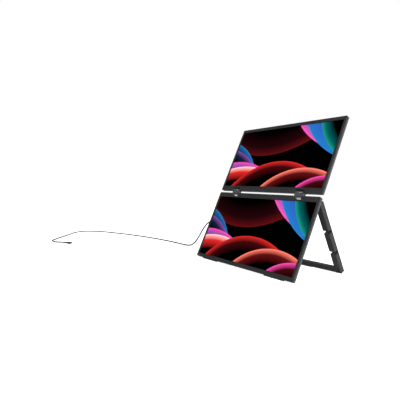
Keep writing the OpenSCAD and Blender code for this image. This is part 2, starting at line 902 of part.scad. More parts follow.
module hinge_ribbon() {
    color([0.6, 0.35, 0.1]) in_gap()
        box(ribbon_x - ribbon_w / 2, ribbon_x + ribbon_w / 2, ribbon_link_y, ribbon_link_y + ribbon_t,
            -ribbon_link_z, ribbon_link_z);
}

// ---------------------------------------------------------------- upper display

module upper_bezel() {
    color([0.16, 0.16, 0.16]) in_upper() bezel();
}

module upper_lcd_panel() {
    color([0.35, 0.05, 0.08]) in_upper() lcd_panel();
}

module upper_backlight() {
    color([0.7, 0.7, 0.72]) in_upper() backlight();
}

module upper_back_cover() {
    color([0.15, 0.15, 0.155]) in_upper() back_cover();
}

module upper_hinge_bracket_left() {
    color([0.55, 0.55, 0.57]) in_upper() hinge_bracket(-1);
}

module upper_hinge_bracket_right() {
    color([0.55, 0.55, 0.57]) in_upper() hinge_bracket(1);
}

module upper_hinge_pin_left() {
    color([0.8, 0.8, 0.82]) in_upper() hinge_pin(-1);
}

module upper_hinge_pin_right() {
    color([0.8, 0.8, 0.82]) in_upper() hinge_pin(1);
}

module upper_bracket_screws() {
    color([0.3, 0.3, 0.32]) in_upper() bracket_screws();
}

module upper_bumper(side) {
    h = display_h;
    translate([side * (display_w / 2 - foot_inset), 0, 0]) along_x(foot_l)
        polygon([[foot_y0, h], [foot_y0, h + bumper_h / 2], [foot_y0 + bumper_h / 2, h + bumper_h],
            [foot_y1 - bumper_h / 2, h + bumper_h], [foot_y1, h + bumper_h / 2], [foot_y1, h]]);
}

module upper_bumper_left() {
    color([0.05, 0.05, 0.05]) in_upper() upper_bumper(-1);
}

module upper_bumper_right() {
    color([0.05, 0.05, 0.05]) in_upper() upper_bumper(1);
}

// The driver board lies on the inside of the back wall, above the left bracket
module upper_driver_board() {
    x0 = ribbon_x - driver_w / 4;
    chip_x = x0 + driver_w / 2;
    chip_z = driver_z + (driver_h - chip) / 2;
    plug_z = driver_z + driver_margin;
    y1 = inner_back_y - fit;
    y0 = y1 - driver_t;
    color([0.05, 0.25, 0.12]) in_upper() {
        box(x0, x0 + driver_w, y0, y1, driver_z, driver_z + driver_h);
        box(chip_x, chip_x + chip, y0 - chip_t, y0, chip_z, chip_z + chip);
        box(ribbon_x - ribbon_plug_w / 2, ribbon_x + ribbon_plug_w / 2, ribbon_y + ribbon_t, y0,
            plug_z, plug_z + ribbon_plug_h);
    }
}

module upper_ribbon() {
    x0 = ribbon_x - ribbon_w / 2;
    color([0.6, 0.35, 0.1]) in_upper()
        box(x0, x0 + ribbon_w, ribbon_y, ribbon_y + ribbon_t,
            notch_back_depth + free_play, driver_z + driver_margin + ribbon_plug_h - end_play);
}

// ---------------------------------------------------------------- stand

module stand_bracket_screw_spots() {
    for (side = [-1, 1]) {
        for (v = [ear_plate_v0 + ear_screw_inset, ear_plate_v1 - ear_screw_inset]) {
            translate([side * (ear_x1 - ear_plate_w + ear_screw_inset), display_t, v]) children();
        }
    }
}

// Bracket on the back of the lower display: a plate with an upright ear round the pin
module stand_bracket(side) {
    color([0.3, 0.3, 0.31]) in_stack() difference() {
        union() {
            translate([side * (ear_x1 - ear_plate_w / 2), 0, 0])
                plate(ear_plate_w, ear_plate_v0, ear_plate_v1,
                    display_t, display_t + ear_plate_t, ear_plate_r);
            translate([side * (ear_x1 - ear_l / 2), display_t + stand_pin_out, stand_pin_v]) {
                bar(ear_r, ear_l);
                translate([-ear_l / 2, -stand_pin_out, -ear_r]) cube([ear_l, stand_pin_out, 2 * ear_r]);
            }
        }
        translate([side * (ear_x1 - ear_l / 2), display_t + stand_pin_out, stand_pin_v])
            bar(stand_pin_r + pin_play, ear_l + 2 * over);
        stand_bracket_screw_spots() rotate([90, 0, 0])
            cylinder(r = screw_r + fit, h = 2 * display_t, center = true);
    }
}

module stand_bracket_left() {
    stand_bracket(-1);
}

module stand_bracket_right() {
    stand_bracket(1);
}

module stand_bracket_screws() {
    color([0.3, 0.3, 0.32]) in_stack() stand_bracket_screw_spots() {
        translate([0, ear_plate_t + screw_head_h, 0]) rotate([90, 0, 0])
            cylinder(r = screw_head_r, h = screw_head_h);
        translate([0, ear_plate_t + screw_head_h / 2, 0]) rotate([90, 0, 0])
            cylinder(r = screw_r, h = ear_plate_t + screw_head_h / 2 + wall_t - end_play);
    }
}

module stand_leg(side) {
    a = leg_t / 2;
    e = leg_end_edge;
    mid_x = side * (leg_outer_x + leg_inner_x) / 2;
    color([0.2, 0.2, 0.2]) in_stand() difference() {
        intersection() {
            translate([mid_x, 0, -leg_l]) linear_extrude(leg_l + leg_t) rounded_rect(leg_w, leg_t, leg_edge_r);
            translate([mid_x, 0, 0]) union() {
                bar(a, leg_w);
                along_x(leg_w) polygon([[-a, 0], [-a, e - leg_l], [e - a, -leg_l], [a - e, -leg_l],
                    [a, e - leg_l], [a, 0]]);
            }
        }
        for (g = [groove_low, groove_high]) {
            translate([mid_x, 0, g - leg_l]) {
                translate([0, groove_depth - groove_w / 2 - a, 0]) bar(groove_w / 2, leg_w + 2 * over);
                translate([-leg_w, -2 * a, -groove_w / 2])
                    cube([2 * leg_w, a + groove_depth - groove_w / 2, groove_w]);
            }
        }
        translate([side * (leg_inner_x + (stand_pin_grip - over) / 2), 0, 0])
            bar(stand_pin_r + pin_seat, stand_pin_grip + over);
        mortise(side);
        corner_screw_room(side);
    }
}

// The pocket that takes the crossbar's tenon
module mortise(side) {
    t = crossbar_t - 2 * tenon_wall + 2 * fit;
    h = crossbar_h - 2 * tenon_wall + 2 * fit;
    translate([side * leg_inner_x, crossbar_y, crossbar_z]) cube([2 * (tenon_l + fit), t, h], center = true);
}

// The recess for a cap, and the holes for the corner screw's head and shank
module corner_screw_room(side) {
    translate([side * corner_screw_x, -leg_t / 2, crossbar_z]) rotate([-90, 0, 0]) {
        translate([0, 0, -over]) linear_extrude(over + cap_recess)
            rounded_rect(cap_w + 2 * fit, cap_h + 2 * fit, cap_r + fit);
        cylinder(r = corner_screw_head_r + fit, h = cap_recess + corner_screw_head_h + fit);
        cylinder(r = corner_screw_r + fit, h = leg_t - leg_skin);
    }
}

module stand_leg_left() {
    stand_leg(-1);
}

module stand_leg_right() {
    stand_leg(1);
}

module stand_crossbar() {
    y0 = crossbar_y - crossbar_t / 2;
    y1 = crossbar_y + crossbar_t / 2;
    e = crossbar_edge;
    color([0.2, 0.2, 0.2]) in_stand() difference() {
        union() {
            translate([0, 0, -leg_l]) along_x(2 * (leg_inner_x - fit))
                polygon([[y0, e], [y0 + e, 0], [y1 - e, 0], [y1, e],
                    [y1, crossbar_h - e], [y1 - e, crossbar_h], [y0 + e, crossbar_h], [y0, crossbar_h - e]]);
            translate([0, crossbar_y, crossbar_z])
                cube([2 * (leg_inner_x + tenon_l), crossbar_t - 2 * tenon_wall, crossbar_h - 2 * tenon_wall],
                    center = true);
        }
        for (side = [-1, 1]) {
            translate([side * corner_screw_x, 0, crossbar_z]) rotate([90, 0, 0])
                cylinder(r = corner_screw_r + fit, h = leg_t, center = true);
        }
    }
}

// Rubber strip under the crossbar; its flat lies on the table while the stand is open
module stand_foot_strip() {
    flat_y = (strip_back_h - strip_front_h) / tan(stand_open) - strip_front_y;
    color([0.05, 0.05, 0.05]) in_stand() translate([0, 0, -leg_l]) along_x(foot_strip_l)
        polygon([[strip_edge - strip_front_y, 0], [-strip_front_y, -strip_front_h], [flat_y, -strip_back_h],
            [strip_end_y, -strip_back_h], [strip_end_y, 0]]);
}

module stand_pin(side) {
    x1 = leg_inner_x + stand_pin_grip - end_play;
    head_x = ear_x0 - end_play - stand_pin_head_t / 2;
    color([0.8, 0.8, 0.82]) in_stand() {
        translate([side * (head_x + x1) / 2, 0, 0]) bar(stand_pin_r, x1 - head_x);
        translate([side * head_x, 0, 0]) bar(stand_pin_head_r, stand_pin_head_t);
    }
}

module stand_pin_left() {
    stand_pin(-1);
}

module stand_pin_right() {
    stand_pin(1);
}

module stand_corner_screws() {
    y0 = cap_recess - leg_t / 2;
    color([0.3, 0.3, 0.32]) in_stand() for (side = [-1, 1]) {
        translate([side * corner_screw_x, y0, crossbar_z]) rotate([-90, 0, 0]) {
            translate([0, 0, fit]) cylinder(r = corner_screw_head_r, h = corner_screw_head_h);
            translate([0, 0, fit]) cylinder(r = corner_screw_r, h = leg_t - cap_recess - leg_skin - 2 * fit);
        }
    }
}

module stand_screw_caps() {
    color([0.07, 0.07, 0.07]) in_stand() for (side = [-1, 1]) {
        translate([side * corner_screw_x, fit - leg_t / 2, crossbar_z])
            rotate([-90, 0, 0]) linear_extrude(cap_recess - fit) rounded_rect(cap_w, cap_h, cap_r);
    }
}

// ---------------------------------------------------------------- lead

// A plug with its shell's end towards +x: the moulding, then a tapered relief round the lead
module plug_body() {
    rotate([0, -90, 0]) {
        linear_extrude(plug_l) rounded_rect(plug_w, plug_t, plug_t / 2);
        translate([0, 0, plug_l])
            cylinder(r1 = plug_t / 2 - relief_step, r2 = lead_r + relief_skin, h = relief_l);
    }
}

module plug_shell() {
    w = usb_w - 2 * usb_wall - fit;
    t = usb_t - 2 * usb_wall - fit;
    rotate([0, 90, 0]) difference() {
        linear_extrude(plug_shell_l) rounded_rect(w, t, t / 2);
        translate([0, 0, plug_shell_wall]) linear_extrude(plug_shell_l)
            rounded_rect(w - 2 * plug_shell_wall, t - 2 * plug_shell_wall, t / 2);
    }
}

module at_monitor_plug() {
    in_stack() translate([-housing_w / 2 - plug_gap, port_y, usb_high_v]) children();
}

module at_laptop_plug() {
    translate(LEAD_END) rotate([0, 0, laptop_plug_turn]) translate([plug_reach, 0, 0])
        rotate([90, 0, 0]) children();
}

module monitor_plug() {
    color([0.06, 0.06, 0.06]) at_monitor_plug() plug_body();
}

module monitor_plug_shell() {
    color([0.75, 0.75, 0.77]) at_monitor_plug() plug_shell();
}

module laptop_plug() {
    color([0.06, 0.06, 0.06]) at_laptop_plug() plug_body();
}

module laptop_plug_shell() {
    color([0.75, 0.75, 0.77]) at_laptop_plug() plug_shell();
}

function unit(v) = v / norm(v);

// A point of the stack in the object's frame, from its x, depth and height along the faces
function stack_point(x, y, v) =
    [x, y_shift + v * sin(lean) + y * cos(lean), z_shift + v * cos(lean) - y * sin(lean)];

lead_points = concat(
    [stack_point(-housing_w / 2 - plug_gap - plug_reach, port_y, usb_high_v)], LEAD_ROUTE, [LEAD_END]);
lead_last = len(lead_points) - 1;
lead_start_way = [-1, 0, 0];
lead_end_way = [cos(laptop_plug_turn), sin(laptop_plug_turn), 0];

// Direction of the lead at point i of its route
function lead_way(i) =
    i == 0 ? lead_start_way : i == lead_last ? lead_end_way :
    let (a = lead_points[i] - lead_points[i - 1], b = lead_points[i + 1] - lead_points[i])
    unit(unit(a) * norm(b) + unit(b) * norm(a));

// A point at the share s of the smooth curve from point i of the route to the next
function lead_at(i, s) =
    let (p = lead_points[i], q = lead_points[i + 1], l = norm(q - p))
    p * (2 * s ^ 3 - 3 * s ^ 2 + 1) + q * (3 * s ^ 2 - 2 * s ^ 3)
    + lead_way(i) * l * (s ^ 3 - 2 * s ^ 2 + s) + lead_way(i + 1) * l * (s ^ 3 - s ^ 2);

lead_path = [
    for (i = [0 : lead_last - 1])
        let (n = max(1, round(norm(lead_points[i + 1] - lead_points[i]) / lead_ring_pitch)))
        for (k = [(i == 0 ? 0 : 1) : n]) lead_at(i, k / n)
];
lead_rings = len(lead_path);

function ring_way(j) =
    j == 0 ? lead_start_way : j == lead_rings - 1 ? lead_end_way : unit(lead_path[j + 1] - lead_path[j - 1]);

// The lead's tube: a ring of points round each point of its path, joined to the next
module lead() {
    n = lead_sides;
    points = [
        for (j = [0 : lead_rings - 1])
            let (way = ring_way(j), side = unit(cross(way, [0, 0, 1])), up = cross(side, way))
            for (k = [0 : n - 1])
                let (a = 360 * (k + 0.5) / n)
                lead_path[j] + lead_r * (cos(a) * side + sin(a) * up)
    ];
    walls = [
        for (j = [0 : lead_rings - 2]) for (k = [0 : n - 1])
            [j * n + k, j * n + (k + 1) % n, (j + 1) * n + (k + 1) % n, (j + 1) * n + k]
    ];
    first_end = [for (k = [n - 1 : -1 : 0]) k];
    last_end = [for (k = [0 : n - 1]) (lead_rings - 1) * n + k];
    color([0.05, 0.05, 0.05]) polyhedron(points, concat([first_end], walls, [last_end]));
}

// ---------------------------------------------------------------- the object

lower_bezel();
lower_lcd_panel();
lower_backlight();
lower_back_cover();
lower_hinge_bracket_left();
lower_hinge_bracket_right();
lower_hinge_pin_left();
lower_hinge_pin_right();
lower_bracket_screws();
lower_foot_left();
lower_foot_right();
status_light();
rear_housing();
main_board();
usb_c_socket_high();
usb_c_socket_low();
mini_hdmi_socket();
housing_screws();
lower_ribbon();
stand_bracket_left();
stand_bracket_right();
stand_bracket_screws();
power_button();
menu_up_button();
menu_down_button();
hinge_link_left();
hinge_link_right();
hinge_ribbon();
upper_bezel();
upper_lcd_panel();
upper_backlight();
upper_back_cover();
upper_hinge_bracket_left();
upper_hinge_bracket_right();
upper_hinge_pin_left();
upper_hinge_pin_right();
upper_bracket_screws();
upper_bumper_left();
upper_bumper_right();
upper_driver_board();
upper_ribbon();
stand_leg_left();
stand_leg_right();
stand_crossbar();
stand_foot_strip();
stand_pin_left();
stand_pin_right();
stand_corner_screws();
stand_screw_caps();
monitor_plug();
monitor_plug_shell();
lead();
laptop_plug();
laptop_plug_shell();
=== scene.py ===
"""Looks of the stacked screen extender: the pieces' finishes, the lead and plugs, and the studio."""
import math

import bmesh
import bpy
from mathutils import Matrix, Vector


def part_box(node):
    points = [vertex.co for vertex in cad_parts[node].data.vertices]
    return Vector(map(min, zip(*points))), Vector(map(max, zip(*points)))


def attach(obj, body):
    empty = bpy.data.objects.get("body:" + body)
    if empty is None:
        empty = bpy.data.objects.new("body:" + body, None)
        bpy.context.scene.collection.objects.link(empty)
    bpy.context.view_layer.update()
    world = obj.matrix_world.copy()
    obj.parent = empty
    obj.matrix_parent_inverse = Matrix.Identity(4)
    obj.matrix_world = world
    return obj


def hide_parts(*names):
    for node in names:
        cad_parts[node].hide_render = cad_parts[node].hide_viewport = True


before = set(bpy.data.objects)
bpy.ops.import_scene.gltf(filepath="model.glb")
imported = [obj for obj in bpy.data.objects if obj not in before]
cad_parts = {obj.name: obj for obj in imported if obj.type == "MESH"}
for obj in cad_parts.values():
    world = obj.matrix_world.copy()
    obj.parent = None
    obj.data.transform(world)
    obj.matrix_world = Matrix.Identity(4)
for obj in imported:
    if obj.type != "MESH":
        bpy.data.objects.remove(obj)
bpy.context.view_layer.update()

MM = 0.001

# The leaning stack of displays
LEAN = math.radians(25.5)
UP_ALONG_FACE = Vector((0, math.sin(LEAN), math.cos(LEAN)))
OUT_OF_BACK = Vector((0, math.cos(LEAN), -math.sin(LEAN)))
PICTURE_W = 344.2 * MM
PICTURE_H = 193.6 * MM
# Past this band a cover's side walls are painted lighter, as painted light
GRAINED_BAND = 3.8 * MM  # how far the back's grain reaches round onto a cover's side walls

# The photograph's camera
CAMERA_AT = Vector((726.7, -824.4, 235.4)) * MM
CAMERA_YAW = math.radians(58.91)
CAMERA_PITCH = math.radians(-2.95)
CAMERA_ROLL = math.radians(0.72)
FOCAL_PX = 368.4
CENTRE_X_PX = 150
FRAME_PX = 400
SENSOR_MM = 36

# The studio. Each lamp has its name, its place and size in metres, and its power in watts.
FLOOR_HALF_SIZE = 12
FLOOR_GLOW = 0.74
ROOM_LIGHT = 0.3
LAMPS_AIM = Vector((0, 0, 0.2))
LAMPS = [
    ("key", (2.2, -0.5, 0.8), (1.6, 1.2), 120),
    ("fill", (0.6, -2.2, 1.6), (1.6, 1.2), 8),
    ("back", (-1.6, 1.6, 1.5), (1.8, 1.0), 26),
]

# The lead
LEAD_D = 4 * MM
LEAD_SIDES = 14
LEAD_STEP = 4 * MM
LEAD_START = Vector((-142.5, -34.59, 113.76)) * MM
LEAD_ROUTE_MM = [
    (-152, -35, 113.6), (-163, -35, 113.2), (-174, -35, 112.3), (-187, -35, 110), (-201, -34, 105),
    (-216, -33, 97), (-232, -31, 84), (-248, -29, 68), (-264, -26, 51), (-281, -23, 34),
    (-300, -20, 19), (-322, -17, 8), (-346, -15, 3.4), (-372, -15, 2.2), (-420, -17, 2.2),
    (-480, -24, 2.2), (-545, -36, 2.2), (-615, -55, 2.2), (-685, -80, 2.2), (-755, -112, 2.2),
    (-808, -142, 2.2), (-846, -178, 2.2), (-862, -220, 2.2), (-845, -262, 2.2), (-800, -305, 2.2),
    (-750, -350, 2.2), (-705, -392, 2.2), (-668, -418, 2.2), (-636, -416, 2.4),
]
LEAD_END = Vector((-604, -393, 3.25)) * MM
LAPTOP_PLUG_TURN = math.radians(36)

# A plug's moulding. Its softened ends go in steps: how far in from the end, and how much less wide
# and less thick the moulding is there, all in SOFT_EDGEs.
PLUG_W = 12 * MM
PLUG_T = 6.5 * MM
PLUG_L = 18 * MM
PLUG_END_SIDES = 10
SOFT_EDGE = 0.7 * MM
FRONT_STEPS = [(0, 2, 2), (0.25, 1, 1), (1, 0, 0)]
REAR_STEPS = [(4, 0, 0), (1.5, 1, 0.4), (0.3, 3, 1)]

# A plug's ribbed relief. A rib's outline has shares of the ribs' pitch, and how deep it lies there.
RELIEF_L = 14 * MM
RELIEF_ROOT_D = PLUG_T - 1.2 * MM
RELIEF_END_D = LEAD_D + 1 * MM
ROOT_FLAT = 0.2 * MM  # how much wider than thick the relief starts
ROUND_FLAT = 0.01 * MM  # the same further on, which keeps the points of a round section apart
RIBS = 5
RIB_GROOVE = 0.5 * MM
RIB_OUTLINE = [(0.1, 0), (0.55, 0), (0.62, RIB_GROOVE), (0.95, RIB_GROOVE)]
COLLAR_ROOM = 1.5 * MM  # left past the ribs for the plain collar round the lead
COLLAR_L = 0.8 * MM
COLLAR_EDGE_L = 0.1 * MM
COLLAR_EDGE_DROP = 0.5 * MM


# ---------------------------------------------------------------- camera

def make_camera():
    data = bpy.data.cameras.new("camera")
    camera = bpy.data.objects.new("camera", data)
    bpy.context.scene.collection.objects.link(camera)
    data.sensor_width = SENSOR_MM
    data.lens = FOCAL_PX / FRAME_PX * SENSOR_MM
    data.shift_x = (FRAME_PX / 2 - CENTRE_X_PX) / FRAME_PX
    data.clip_start = 0.05
    data.clip_end = 50
    camera.location = CAMERA_AT
    yaw = Matrix.Rotation(CAMERA_YAW, 4, "Z")
    pitch = Matrix.Rotation(math.pi / 2 + CAMERA_PITCH, 4, "X")
    roll = Matrix.Rotation(CAMERA_ROLL, 4, "Z")
    camera.rotation_euler = (yaw @ pitch @ roll).to_euler()
    bpy.context.scene.camera = camera


make_camera()


# ---------------------------------------------------------------- mesh helpers

def add_object(name, data, body):
    piece = bpy.data.objects.new(name, data)
    bpy.context.scene.collection.objects.link(piece)
    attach(piece, body)
    return piece


def smooth(mesh, angle):
    mesh.polygons.foreach_set("use_smooth", [True] * len(mesh.polygons))
    mesh.set_sharp_from_angle(angle=math.radians(angle))


def stadium(w, t, sides):
    """Outline of a bar with round ends, w wide and t thick, anticlockwise."""
    r = t / 2
    points = []
    for centre, start in ((w / 2 - r, -math.pi / 2), (r - w / 2, math.pi / 2)):
        for i in range(sides + 1):
            a = start + math.pi * i / sides
            points.append((centre + r * math.cos(a), r * math.sin(a)))
    return points


def loft(mesh_name, sections):
    """A closed mesh through sections of equally many points, each a list of Vectors."""
    bm = bmesh.new()
    rings = [[bm.verts.new(p) for p in section] for section in sections]
    count = len(sections[0])
    for a, b in zip(rings, rings[1:]):
        for i in range(count):
            j = (i + 1) % count
            bm.faces.new((a[i], a[j], b[j], b[i]))
    bm.faces.new(rings[0][::-1])
    bm.faces.new(rings[-1])
    bmesh.ops.recalc_face_normals(bm, faces=bm.faces)
    mesh = bpy.data.meshes.new(mesh_name)
    bm.to_mesh(mesh)
    bm.free()
    return mesh


# ---------------------------------------------------------------- lead

def unit_way(points, i, first_way, last_way):
    """The lead's direction at a point of its route, between its two stretches' there."""
    if i == 0:
        return first_way
    if i == len(points) - 1:
        return last_way
    a = points[i] - points[i - 1]
    b = points[i + 1] - points[i]
    return (a.normalized() * b.length + b.normalized() * a.length).normalized()


def lead_line(points, ways):
    """The lead's centreline: the smooth curve through its route, in short steps."""
    line = [points[0]]
    for i in range(len(points) - 1):
        span = (points[i + 1] - points[i]).length
        steps = max(2, round(span / LEAD_STEP))
        for k in range(1, steps + 1):
            s = k / steps
            line.append(
                points[i] * (2 * s ** 3 - 3 * s ** 2 + 1)
                + points[i + 1] * (3 * s ** 2 - 2 * s ** 3)
                + ways[i] * span * (s ** 3 - 2 * s ** 2 + s)
                + ways[i + 1] * span * (s ** 3 - s ** 2)
            )
    return line


def make_lead(line, first_way, last_way):
    """The lead as a round tube along its centreline."""
    turns = [2 * math.pi * k / LEAD_SIDES for k in range(LEAD_SIDES)]
    ways = [first_way] + [b - a for a, b in zip(line, line[2:])] + [last_way]
    sections = []
    for point, way in zip(line, ways):
        side = way.cross(Vector((0, 0, 1))).normalized()
        up = side.cross(way).normalized()
        ring = [point + (side * math.cos(a) + up * math.sin(a)) * LEAD_D / 2 for a in turns]
        sections.append(ring)
    mesh = loft("lead_cord", sections)
    smooth(mesh, 50)
    cord = add_object("lead_cord", mesh, "lower_display")
    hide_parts("lead")
    return cord


def plug_outline():
    """A plug's moulding from its shell to the lead: how far along, how wide and how thick."""
    sections = [
        (-step * SOFT_EDGE, PLUG_W - less_w * SOFT_EDGE, PLUG_T - less_t * SOFT_EDGE)
        for step, less_w, less_t in FRONT_STEPS
    ]
    sections += [
        (-PLUG_L + step * SOFT_EDGE, PLUG_W - less_w * SOFT_EDGE, PLUG_T - less_t * SOFT_EDGE)
        for step, less_w, less_t in REAR_STEPS
    ]
    sections.append((-PLUG_L, RELIEF_ROOT_D + ROOT_FLAT, RELIEF_ROOT_D))
    pitch = (RELIEF_L - COLLAR_ROOM) / RIBS
    for i in range(RIBS):
        for share, depth in RIB_OUTLINE:
            d = RELIEF_ROOT_D + (RELIEF_END_D - RELIEF_ROOT_D) * (i + share) / RIBS - depth
            sections.append((-PLUG_L - (i + share) * pitch, d + ROUND_FLAT, d))
    end = -PLUG_L - RELIEF_L
    for x in (end + COLLAR_L, end + COLLAR_EDGE_L):
        sections.append((x, RELIEF_END_D + ROUND_FLAT, RELIEF_END_D))
    sections.append((end, RELIEF_END_D - COLLAR_EDGE_DROP, RELIEF_END_D - COLLAR_EDGE_DROP))
    return sections


def make_plug(name, node, place):
    """A plug's moulding with softened ends, and a ribbed relief that tapers to the lead."""
    sections = [
        [place @ Vector((x, thick, wide)) for wide, thick in stadium(w, t, PLUG_END_SIDES)]
        for x, w, t in plug_outline()
    ]
    mesh = loft(name, sections)
    smooth(mesh, 40)
    plug = add_object(name, mesh, "lower_display")
    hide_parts(node)
    return plug


# A plug's own frame: x towards its shell's end, z along its width
MONITOR_PLUG_AT = (
    Matrix.Translation(LEAD_START + Vector((PLUG_L + RELIEF_L, 0, 0)))
    @ Matrix.Rotation(-LEAN, 4, "X")
)
LAPTOP_PLUG_AT = (
    Matrix.Translation(LEAD_END) @ Matrix.Rotation(LAPTOP_PLUG_TURN, 4, "Z")
    @ Matrix.Translation((PLUG_L + RELIEF_L, 0, 0)) @ Matrix.Rotation(math.pi / 2, 4, "X")
)

lead_points = [LEAD_START] + [Vector(p) * MM for p in LEAD_ROUTE_MM] + [LEAD_END]
first_way = Vector((-1, 0, 0))
last_way = Vector((math.cos(LAPTOP_PLUG_TURN), math.sin(LAPTOP_PLUG_TURN), 0))
lead_ways = [unit_way(lead_points, i, first_way, last_way) for i in range(len(lead_points))]
lead_path = lead_line(lead_points, lead_ways)
lead_cord = make_lead(lead_path, first_way, last_way)
monitor_plug = make_plug("monitor_plug_moulding", "monitor_plug", MONITOR_PLUG_AT)
laptop_plug = make_plug("laptop_plug_moulding", "laptop_plug", LAPTOP_PLUG_AT)


# ---------------------------------------------------------------- colours

BEZEL_GREY = (0.0205, 0.0205, 0.022)
# A cover's side walls: a grey lighter than the back, painted light for the lamps' light falling on
# them
COVER_SIDE_PAINTED_LIGHT_GREY = (0.075, 0.075, 0.077)
COVER_BACK_GREY = (0.024, 0.024, 0.025)
LINK_GREY = (0.055, 0.055, 0.057)
STAND_GREY = (0.023, 0.023, 0.0245)
CAP_BLACK = (0.012, 0.012, 0.013)
BUTTON_GREY = (0.02, 0.02, 0.021)
PLUG_BLACK = (0.016, 0.016, 0.017)
JACKET_BLACK = (0.006, 0.006, 0.0065)
RUBBER_BLACK = (0.014, 0.014, 0.014)
BRIGHT_STEEL = (0.5, 0.5, 0.51)
BLACKENED_STEEL = (0.12, 0.12, 0.125)
NICKEL = (0.66, 0.66, 0.67)
FLOOR_WHITE = (0.8, 0.8, 0.8)
WHITE = (1.0, 1.0, 1.0)

# Colours that a pattern mixes, from its one end to the other
SOLDER_MASK = ((0.008, 0.075, 0.035), (0.02, 0.16, 0.07))
CHIPS = ((0.012, 0.012, 0.013), (0.03, 0.03, 0.032))
FILM_AND_COPPER = ((0.26, 0.1, 0.018), (0.55, 0.27, 0.07))
TRAY = ((0.66, 0.66, 0.67), (0.76, 0.76, 0.77))
STATUS_GLOW = ((0.85, 0.5, 0.3), (0.95, 0.66, 0.45))

# The generic picture on the screens: overlapping discs, each bright at its rim and black towards
# its middle. Each has its middle, from the picture's lower left corner, and its radius in picture
# heights, its rim's and body's colours, and how far its glow reaches in, as a share of the radius.
BLACK = (0.0, 0.0, 0.0)
SOOT = (0.012, 0.001, 0.002)
NIGHT = (0.004, 0.012, 0.03)
MAROON = (0.04, 0.002, 0.003)
GARNET = (0.09, 0.004, 0.005)
RED = (0.62, 0.02, 0.018)
CORAL = (1.0, 0.2, 0.14)
PALE_PINK = (1.0, 0.62, 0.58)
HOT_PINK = (0.85, 0.06, 0.36)
VIOLET = (0.2, 0.06, 0.36)
BLUE = (0.02, 0.09, 0.4)
SKY = (0.01, 0.16, 0.42)
TEAL = (0.0, 0.075, 0.075)
GREEN = (0.01, 0.26, 0.15)
DISCS = [
    ((0.62, 1.95), 1.42, GARNET, SOOT, 0.3),
    ((2.16, 1.84), 1.34, HOT_PINK, BLUE, 0.3),
    ((2.36, 1.62), 1.28, SKY, BLUE, 0.34),
    ((2.50, 1.35), 1.10, GREEN, TEAL, 0.16),
    ((-0.45, -0.25), 1.12, SKY, NIGHT, 0.3),
    ((-0.36, -0.42), 1.14, VIOLET, NIGHT, 0.2),
    ((0.12, -0.78), 1.22, HOT_PINK, VIOLET, 0.2),
    ((0.30, -0.95), 1.30, PALE_PINK, RED, 0.2),
    ((0.98, -0.62), 1.04, RED, MAROON, 0.24),
    ((1.42, -0.58), 0.88, CORAL, GARNET, 0.25),
    ((1.78, -0.38), 0.56, HOT_PINK, MAROON, 0.4),
]
STEP_AT, BODY_AT, BLACK_AT = 0.1, 0.35, 0.9  # where a disc's colours lie, as shares of that reach
RIM_SHARE = 0.55  # of the rim's colour in the step between it and the body's
DISC_BLUR = 0.003  # either way of a disc's rim, in picture heights
MARGIN = 0.0045  # unlit round the picture, in picture heights
MARGIN_BLUR = 0.001
MARGIN_BLACK = (0.004, 0.004, 0.004)


# ---------------------------------------------------------------- materials

NOISE_LOW, NOISE_HIGH = 0.3, 0.7  # where nearly all values of a noise lie
PLASTIC_TONES = (0.86, 1.16)
COVER_SIDE_TONES = (0.9, 1.1)
DUSTY_RUBBER_TONES = (1, 1.9)
METAL_TONES = (0.88, 1.08)
PLASTIC_GLOSS = 0.06
COVER_GLOSS = 0.08
SCREEN_GLOSS = 0.001  # next to none, or the screens mirror the white room at low angles
BAND_BLUR = 0.1 * MM  # either way of where a cover's grain ends
BOARD_BLUR = (0.1 * MM, 0.25 * MM)  # how far off a board's rear face its green goes over to black


